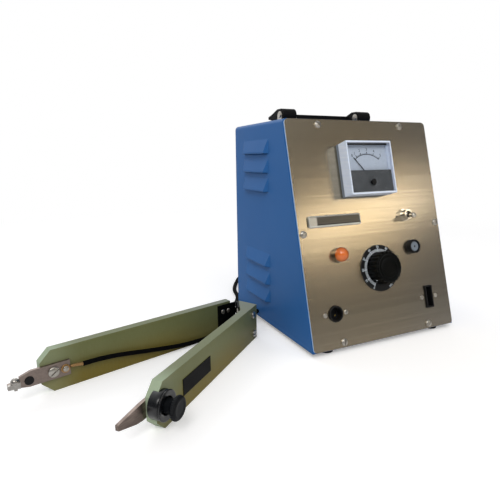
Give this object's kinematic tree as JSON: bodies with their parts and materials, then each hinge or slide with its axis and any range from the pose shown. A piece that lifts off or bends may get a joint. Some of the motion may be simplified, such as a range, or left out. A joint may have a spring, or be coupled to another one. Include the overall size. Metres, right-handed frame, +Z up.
{
  "type": "impulse heat sealer",
  "caption": "Sloping-front bench power cabinet with meter, dial and folding handle, wired to a pair of hinged heat-sealing tongs with electrode blades",
  "frame": {"origin": "floor below the middle of the cabinet with its tongs, leaving out the loose lead", "axes": "+X from the tongs' tips towards the cabinet's right side, +Y towards the cabinet's back, +Z up"},
  "size_m": [0.4894, 0.416, 0.2663],
  "materials": {
    "blue_paint": "satin paint",
    "steel_panel": "horizontal brushed",
    "bright_steel": "bright",
    "plain_steel": "satin",
    "blade_metal": "worn",
    "dark_steel": "blackened",
    "black_plastic": "moulded",
    "gloss_black": "gloss",
    "grey_plastic": "moulded",
    "white_card": "printed card",
    "clear_plastic": "clear",
    "orange_lens": "translucent look",
    "laminate": "olive glass-epoxy laminate",
    "rubber": "matt",
    "plate_metal": "etched, bare",
    "brass_contact": "bare",
    "iron": "laminated",
    "winding": "taped winding"
  },
  "bodies": {
    "cabinet": {"cabinet_shell": "blue_paint", "base_plate": "blue_paint", "rear_cover": "blue_paint", "front_panel": "steel_panel", "panel_screws": "plain_steel", "case_screws": "plain_steel", "feet": "rubber", "handle_brackets": "bright_steel", "handle_pins": "bright_steel", "meter_base": "black_plastic", "meter_scale": "white_card", "meter_mask": "grey_plastic", "meter_cover": "clear_plastic", "control_body": "black_plastic", "dial_plate": "black_plastic", "toggle_body": "bright_steel", "toggle_nut": "bright_steel", "pilot_body": "black_plastic", "pilot_lens": "orange_lens", "breaker_ring": "black_plastic", "round_socket": "black_plastic", "rect_socket": "black_plastic", "connector_contacts": "brass_contact", "socket_screws": "plain_steel", "mains_inlet": "black_plastic", "nameplate": "plate_metal", "transformer_core": "iron", "transformer_coil": "winding", "right_arm": "laminate", "hinge_block": "laminate", "hinge_leaf_fixed": "dark_steel", "hinge_pin": "dark_steel", "tong_screws": "plain_steel", "label_plate": "black_plastic", "right_blade": "blade_metal", "button_housing": "gloss_black", "right_lead": "rubber", "flex_lead": "rubber", "cord_gland": "rubber", "tong_boot": "rubber", "lead_front": "rubber", "lead_back": "rubber", "lead_coil": "rubber"},
    "left_tong_arm": {"left_arm": "laminate", "hinge_leaf_moving": "dark_steel", "left_arm_screws": "plain_steel", "left_blade": "blade_metal", "left_blade_plug": "black_plastic", "left_lug": "plain_steel", "left_jaw": "blade_metal", "left_clamp_screw": "plain_steel", "left_lead": "rubber"},
    "carrying_handle": {"handle_bail": "black_plastic"},
    "heat_knob": {"knob": "gloss_black", "control_shaft": "plain_steel"},
    "switch_lever": {"toggle_lever": "bright_steel"},
    "reset_button": {"breaker_button": "grey_plastic"},
    "tong_button": {"thumb_button": "black_plastic"},
    "needle": {"meter_needle": "dark_steel"},
    "zero_screw": {"meter_zero_screw": "black_plastic"}
  },
  "joints": [
    {"name": "tong_close", "type": "hinge", "parent": "cabinet", "child": "left_tong_arm", "pos_m": [-0.00133, 0.04147, 0.0195], "axis": [0, 0, 1], "range_deg": [0, 28], "deforming": ["flex_lead"]},
    {"name": "tong_button_press", "type": "slide", "parent": "cabinet", "child": "tong_button", "axis": [-0.6724, 0.7402, 0], "range_m": [0, 0.003], "stiffness_N_per_m": 300, "springref_m": -0.002},
    {"name": "heat_knob_turn", "type": "hinge", "parent": "cabinet", "child": "heat_knob", "pos_m": [0.13867, -0.04467, 0.08206], "axis": [0, 0.9633, -0.2684], "range_deg": [-15, 285]},
    {"name": "switch_flip", "type": "hinge", "parent": "cabinet", "child": "switch_lever", "pos_m": [0.18567, -0.03299, 0.13923], "axis": [-1, 0, 0], "range_deg": [0, 24]},
    {"name": "reset_press", "type": "slide", "parent": "cabinet", "child": "reset_button", "axis": [0, 0.9633, -0.2684], "range_m": [0, 0.002], "stiffness_N_per_m": 300, "springref_m": -0.001},
    {"name": "needle_swing", "type": "hinge", "parent": "cabinet", "child": "needle", "pos_m": [0.13217, -0.0171, 0.18099], "axis": [0, 0.9633, -0.2684], "range_deg": [0, 80], "stiffness_Nm_per_rad": 0.0002, "springref_deg": -17.19},
    {"name": "zero_adjust", "type": "hinge", "parent": "cabinet", "child": "zero_screw", "pos_m": [0.13217, -0.01884, 0.17473], "axis": [0, 0.9633, -0.2684], "range_deg": [-30, 30]},
    {"name": "handle_raise", "type": "hinge", "parent": "cabinet", "child": "carrying_handle", "pos_m": [0.13867, 0.06986, 0.2582], "axis": [1, 0, 0], "range_deg": [0, 100]}
  ]
}
